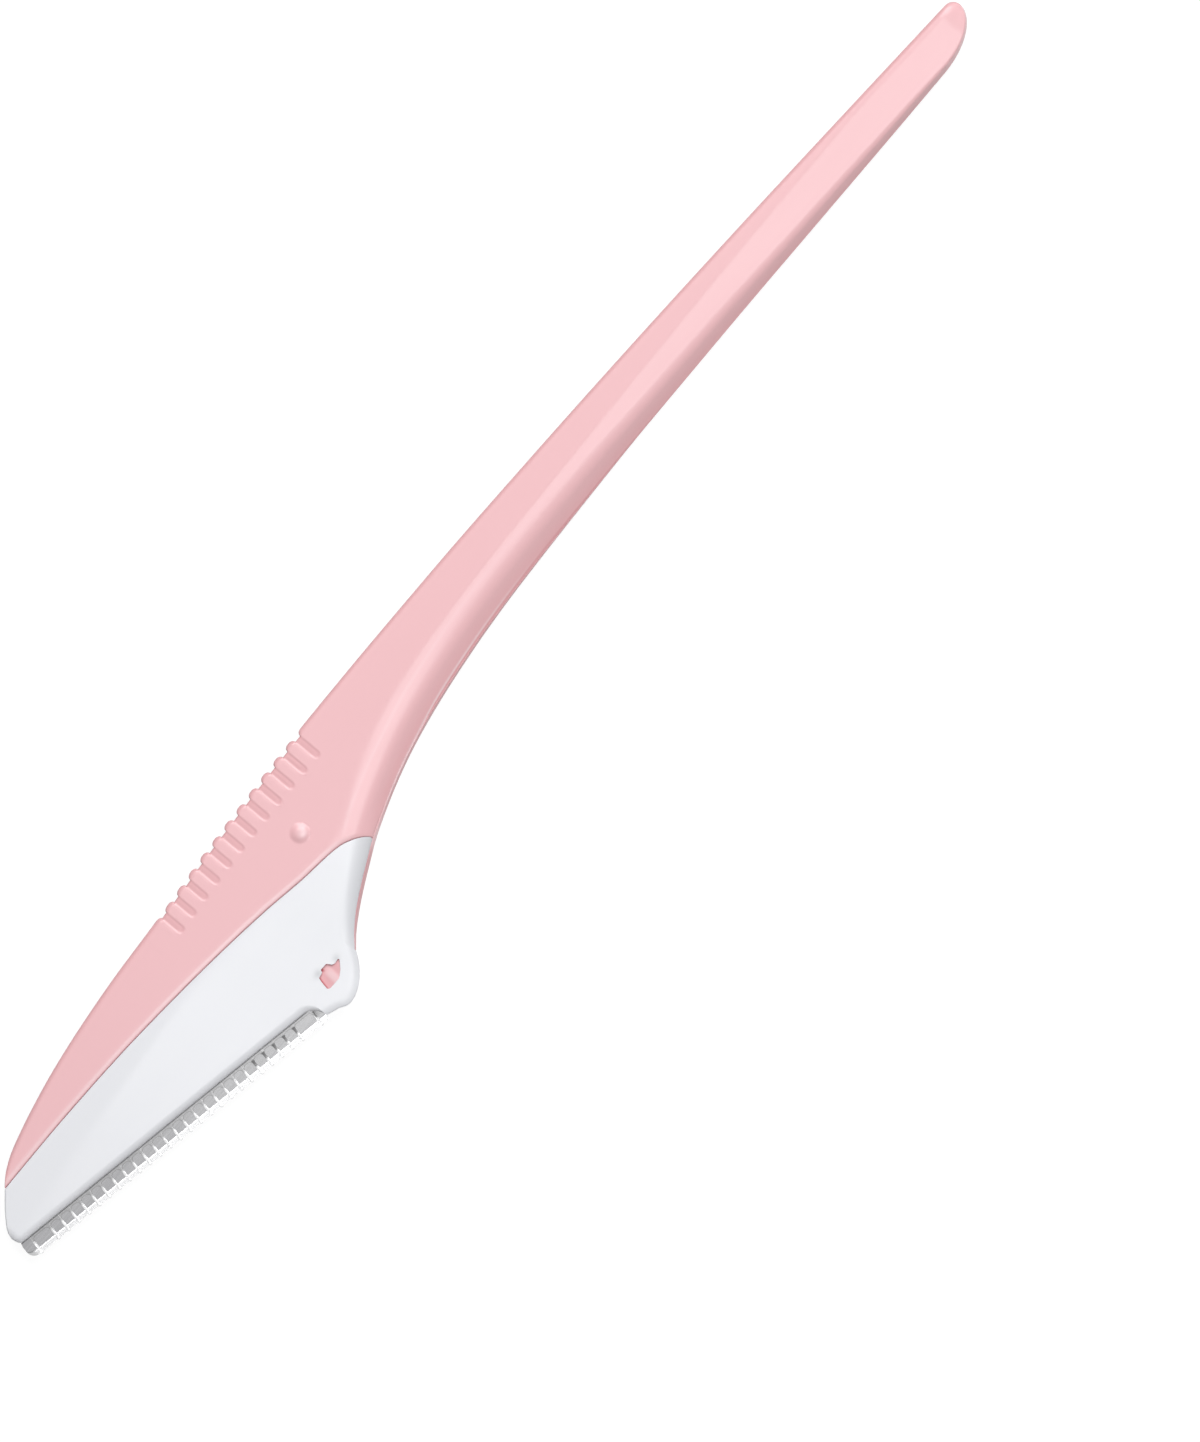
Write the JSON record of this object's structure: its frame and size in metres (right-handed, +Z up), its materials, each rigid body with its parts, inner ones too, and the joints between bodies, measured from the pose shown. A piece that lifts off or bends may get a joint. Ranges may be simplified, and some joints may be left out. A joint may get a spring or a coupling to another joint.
{
  "type": "disposable razor",
  "caption": "Slim disposable face razor: ribbed plastic handle, white blade holder and a steel blade behind a folded foil guard.",
  "frame": {"origin": "centre of the razor's box in plan, on the surface that it lies on", "axes": "+X along the razor towards the tail of the handle, +Y towards the ribbed back edge, +Z up out of the front face as it lies on its back face"},
  "size_m": [0.15, 0.0208, 0.0046],
  "materials": {
    "handle_plastic": "moulded, satin gloss",
    "holder_plastic": "moulded, satin gloss",
    "blade_steel": "fine ground",
    "guard_foil": "bright foil"
  },
  "bodies": {
    "root": {"handle": "handle_plastic", "blade_holder": "holder_plastic", "blade": "blade_steel", "blade_guard": "guard_foil"}
  },
  "joints": []
}
